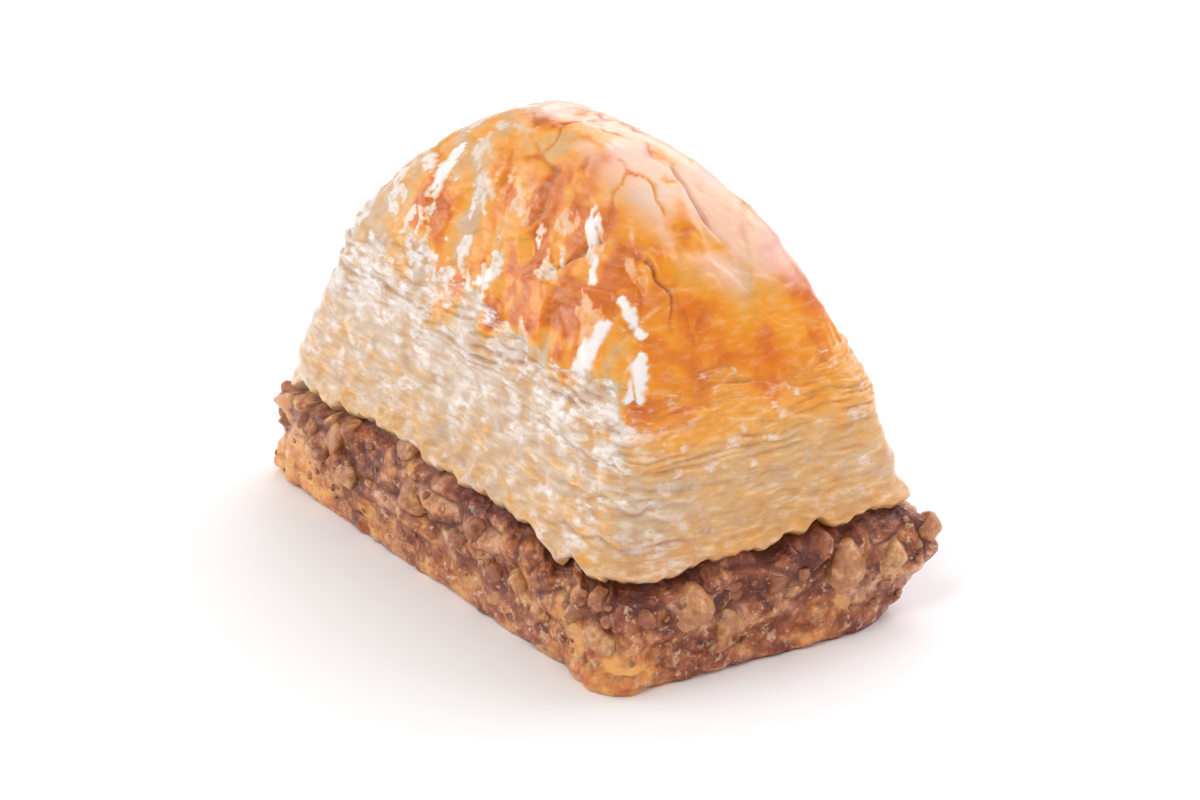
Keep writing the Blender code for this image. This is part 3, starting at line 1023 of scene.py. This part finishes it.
def make_base(bearings, material):
    """Soaked sheets, flat below and uneven at the cut."""
    heights = np.arange(0.3, BASE_TOP - 0.5, 0.4)
    reach = Skin("base_pastry").felt(bearings, heights, 0.7, 3.0)
    z = np.linspace(0.0, BASE_TOP + 0.4, BASE_ROWS)[:, None] * np.ones((1, len(bearings)))
    points = wall_points(stretch_rows(reach, heights, z), bearings, z)
    part = (z + 0.35 * noise(points, (8, 8, 3), 130)) / SOAKED_SHEET % 1
    lumps = np.abs(noise(points, (2.8, 2.8, 2.0), 132))
    relief = 0.35 * lumps + noises(points, (0.18, 1.5, 133), (0.10, 0.7, 134)) - 0.1
    relief -= 0.5 * ease(z, 1.6, 2.6) + 0.25 * (1 - ease(z, 0, 0.35))
    relief += corner_point(points) - tuck(points)
    points = points + normals_of(points) * relief[..., None]
    points[..., 2] = np.maximum(points[..., 2], 0.0)
    points[0, :, 2] = 0.0
    gap = 0.15 * (1 - ease(part, 0.0, 0.25)) + 0.4 * ease(-noise(points, 1.5, 133), 0.3, 0.7)
    shade = 0.5 + noises(points, (0.4, (2.5, 2.5, 1.2), 135), (0.25, 1.0, 136))
    gap = np.clip(gap, 0, 0.7)
    values = {"gap": gap, "shade": shade, "honey": honey_at(points), "soak": soak_at(points)}
    inner, outer = drawn_in(points[0], (0.5, 0.9)), drawn_in(points[-1], (0.9, 0.5))
    return closed_piece("syrup_base", inner, points, outer, material, values)


# -------- stage


def make_floor():
    size = 3.0
    mesh = bpy.data.meshes.new("floor")
    corners = [(-size, -size, 0), (size, -size, 0), (size, size, 0), (-size, size, 0)]
    mesh.from_pydata(corners, [], [(0, 1, 2, 3)])
    m = Recipe("pale_floor")
    m.feed(m.shader, {"Base Color": (0.96, 0.96, 0.96, 1), "Roughness": 0.9, "Specular IOR Level": 0.1})
    mesh.materials.append(m.material)
    floor = bpy.data.objects.new("floor", mesh)
    bpy.context.scene.collection.objects.link(floor)


def aimed(name, data, target, azimuth, elevation, distance):
    """A lamp or camera that looks at the target from this azimuth and elevation, in degrees."""
    a, e = math.radians(azimuth), math.radians(elevation)
    way = Vector((math.sin(a) * math.cos(e), -math.cos(a) * math.cos(e), math.sin(e)))
    thing = bpy.data.objects.new(name, data)
    thing.location = target + way * distance
    thing.rotation_mode = "QUATERNION"
    thing.rotation_quaternion = way.to_track_quat("Z", "Y")
    bpy.context.scene.collection.objects.link(thing)
    return thing


def make_light(name, azimuth, elevation, distance, width, height, radiance, colour=(1, 1, 1)):
    light = bpy.data.lights.new(name, "AREA")
    light.shape = "RECTANGLE"
    light.size, light.size_y = width, height
    light.energy = radiance * math.pi * width * height
    light.color = colour
    aimed(name, light, Vector((0, 0, 0.02)), azimuth, elevation, distance)


def make_stage():
    """Soft studio light, with small lamps whose glints show how wet the crust and its edges are."""
    make_floor()
    world = bpy.data.worlds.new("studio")
    world.use_nodes = True
    sky = world.node_tree.nodes["Background"].inputs
    sky["Color"].default_value = (1.0, 0.99, 0.98, 1)
    sky["Strength"].default_value = 0.53
    bpy.context.scene.world = world
    make_light("soft_front", -30, 40, 0.7, 0.4, 0.4, 1.45)
    make_light("soft_right", 75, 14, 0.7, 0.4, 0.3, 1.3)
    make_light("glint_left", -55, 27, 0.6, 0.24, 0.24, 1.7, (1.0, 0.98, 0.94))
    make_light("glint_low", -53, 6, 0.6, 0.14, 0.10, 5.5)
    make_light("glint_ridge", 26, 56, 0.6, 0.12, 0.18, 9)
    make_light("back", 196, 42, 0.9, 1.4, 0.8, 2.1, (0.98, 0.94, 1.0))
    make_light("soft_top", 125, 53, 0.7, 0.5, 0.5, 0.25)
    make_light("glint_right", 128, 10, 0.6, 0.07, 0.07, 9)
    make_light("left", -80, 12, 0.7, 0.5, 0.25, 0.5)
    bpy.context.scene.view_settings.view_transform = "Standard"


def make_camera():
    """Long lens from the front right, above the piece."""
    camera = bpy.data.cameras.new("camera")
    camera.lens = 120.0
    camera.sensor_width = 36.0
    camera.clip_start = 0.01
    look = Vector(LOW + SPAN * (0.636, 0.369, 0.4545)) * MM
    bpy.context.scene.camera = aimed("camera", camera, look, 52.0, 25.0, 0.3404)


# -------- all together


def main():
    stack = Skin("top_pastry")
    bearings = even_bearings(stack, FOOT + 4, COLUMNS)
    cut_look = filo_material("cut_filo", 1.0, 0.08, 1.5, 0.4, 0.36)
    crust_look = filo_material("glazed_filo", 0.8, 0.17, 1.45, 0.25, 0.15)
    foot, foot_reach = foot_line(stack, bearings)
    ride_as(make_sides(stack, bearings, foot, cut_look), "baked_filo", "top_pastry")
    ride_as(make_crust(stack, bearings, crust_look), "baked_filo", "top_pastry")
    core, points, ways = make_core(bearings, foot, foot_reach, soaked_material("walnut_paste"))
    ride_as(core, "walnut_paste", "nut_filling")
    walnut = walnut_material()
    dice = np.random.default_rng(5)
    nuts = hero_places(points, ways, bearings)
    nuts = scatter(NUT_COUNT, lambda: dice.triangular(1.3, 2.0, 3.6), NUT_SPAN, dice, 0.8, points, ways, nuts)
    ride_as(make_bits("walnut_bits", nuts, 10, 6, dice, walnut, len(NUTS)), "walnut_paste")
    crumbs = scatter(CRUMB_COUNT, lambda: dice.uniform(0.5, 1.1), CRUMB_SPAN, dice, 0.6, points, ways)
    ride_as(make_bits("walnut_crumbs", crumbs, 5, 4, dice, walnut), "walnut_paste")
    ride_as(make_base(bearings, soaked_material("soaked_base")), "soaked_base", "base_pastry")
    make_stage()
    make_camera()


main()
